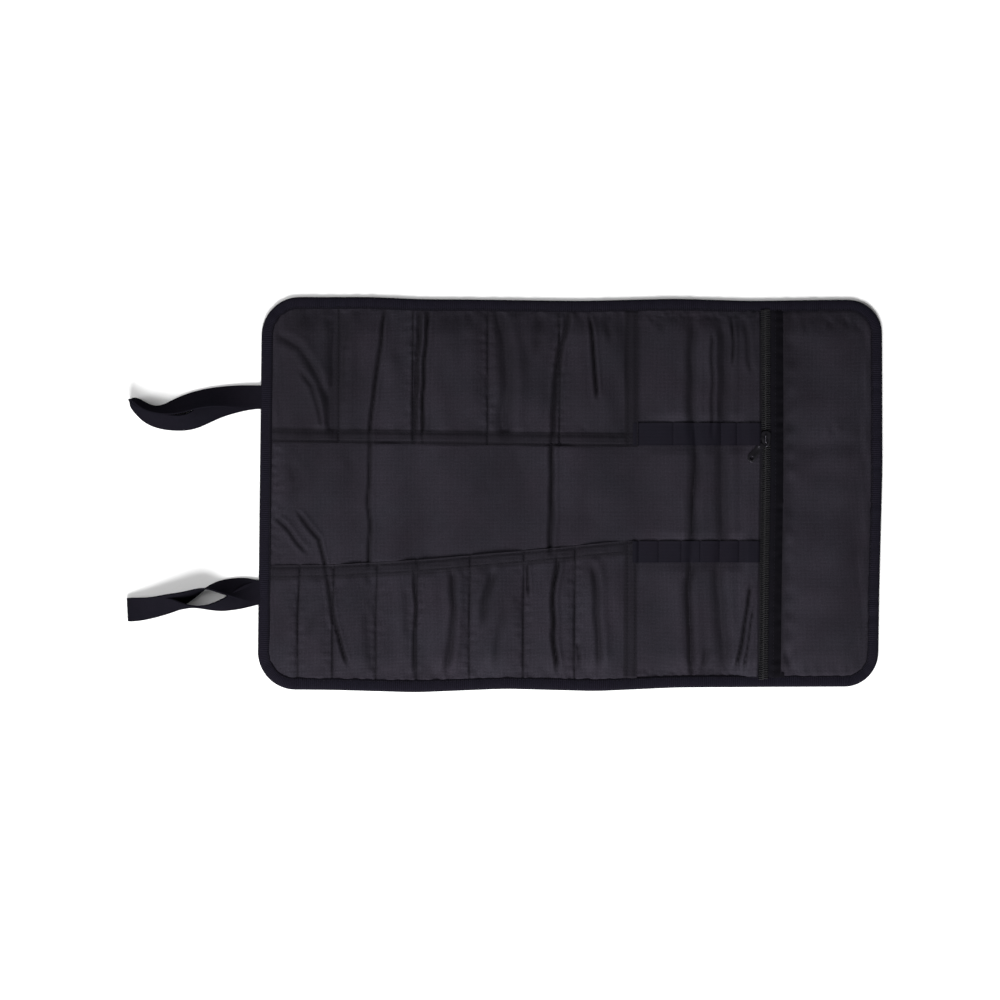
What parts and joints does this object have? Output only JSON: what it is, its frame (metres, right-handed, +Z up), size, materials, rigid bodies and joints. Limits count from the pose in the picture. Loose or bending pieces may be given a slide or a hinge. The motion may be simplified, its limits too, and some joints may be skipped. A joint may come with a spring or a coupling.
{
  "type": "brush roll case",
  "caption": "Flat cloth roll case with two rows of pockets, elastic loops, a zip pocket and two webbing loops that hold it rolled.",
  "frame": {"origin": "bottom centre of the box that holds the open case and its webbing loops, on the surface it lies on", "axes": "+X along the case from the webbing loops to the zip pocket, +Y from the narrow pockets to the wide ones, +Z up"},
  "size_m": [0.615, 0.318, 0.0093],
  "materials": {
    "shell": "woven padded cloth",
    "lining": "plain weave nylon",
    "binding": "ribbed tape",
    "webbing": "smooth woven webbing",
    "elastic": "flat woven elastic",
    "zip_tape": "close woven tape",
    "coil": "nylon coil",
    "metal": "dark plated die casting"
  },
  "bodies": {
    "strap_bay": {"outer_shell_1": "shell", "lining_1": "lining", "binding_1": "binding", "wide_pockets_1": "lining", "narrow_pockets_1": "lining"},
    "second_bay": {"outer_shell_2": "shell", "lining_2": "lining", "binding_2": "binding", "wide_pockets_2": "lining", "narrow_pockets_2": "lining"},
    "third_bay": {"outer_shell_3": "shell", "lining_3": "lining", "binding_3": "binding", "wide_pockets_3": "lining", "narrow_pockets_3": "lining", "upper_elastic_3": "elastic", "lower_elastic_3": "elastic"},
    "fourth_bay": {"outer_shell_4": "shell", "lining_4": "lining", "binding_4": "binding", "upper_elastic_4": "elastic", "lower_elastic_4": "elastic"},
    "zip_bay": {"outer_shell_5": "shell", "lining_5": "lining", "binding_5": "binding", "upper_elastic_5": "elastic", "lower_elastic_5": "elastic", "zip_pocket_flap_5": "lining", "zip_facing": "lining", "left_zip_tape": "zip_tape", "right_zip_tape": "zip_tape", "left_zip_coil": "coil", "right_zip_coil": "coil"},
    "flap_bay": {"outer_shell_6": "shell", "lining_6": "lining", "binding_6": "binding", "zip_pocket_flap_6": "lining"},
    "upper_webbing_loop": {"upper_webbing_loop": "webbing"},
    "lower_webbing_loop": {"lower_webbing_loop": "webbing"},
    "zip_slider": {"zip_slider": "metal"},
    "zip_puller": {"zip_puller": "metal"}
  },
  "joints": [
    {"name": "first_fold", "type": "hinge", "parent": "strap_bay", "child": "second_bay", "pos_m": [-0.0405, 0, 0.01], "axis": [0, -1, 0], "range_deg": [0, 90]},
    {"name": "second_fold", "type": "hinge", "parent": "second_bay", "child": "third_bay", "pos_m": [0.0425, 0, 0.01], "axis": [0, -1, 0], "range_deg": [0, 90]},
    {"name": "third_fold", "type": "hinge", "parent": "third_bay", "child": "fourth_bay", "pos_m": [0.1255, 0, 0.01], "axis": [0, -1, 0], "range_deg": [0, 90]},
    {"name": "fourth_fold", "type": "hinge", "parent": "fourth_bay", "child": "zip_bay", "pos_m": [0.191, 0, 0.01], "axis": [0, -1, 0], "range_deg": [0, 90]},
    {"name": "fifth_fold", "type": "hinge", "parent": "zip_bay", "child": "flap_bay", "pos_m": [0.2525, 0, 0.01], "axis": [0, -1, 0], "range_deg": [0, 90]},
    {"name": "zip_slider_travel", "type": "slide", "parent": "zip_bay", "child": "zip_slider", "axis": [0, 1, 0], "range_m": [-0.185, 0.095]},
    {"name": "zip_puller_swing", "type": "hinge", "parent": "zip_slider", "child": "zip_puller", "pos_m": [0.212, 0.0447, 0.00745], "axis": [-0.7986, 0.6018, 0], "range_deg": [0, 160]},
    {"name": "upper_webbing_loop_turn", "type": "hinge", "parent": "strap_bay", "child": "upper_webbing_loop", "pos_m": [-0.2008, 0.079, 0.0042], "axis": [0, -1, 0], "range_deg": [-150, 0]},
    {"name": "lower_webbing_loop_turn", "type": "hinge", "parent": "strap_bay", "child": "lower_webbing_loop", "pos_m": [-0.2008, -0.081, 0.0042], "axis": [0, -1, 0], "range_deg": [-150, 0]}
  ]
}
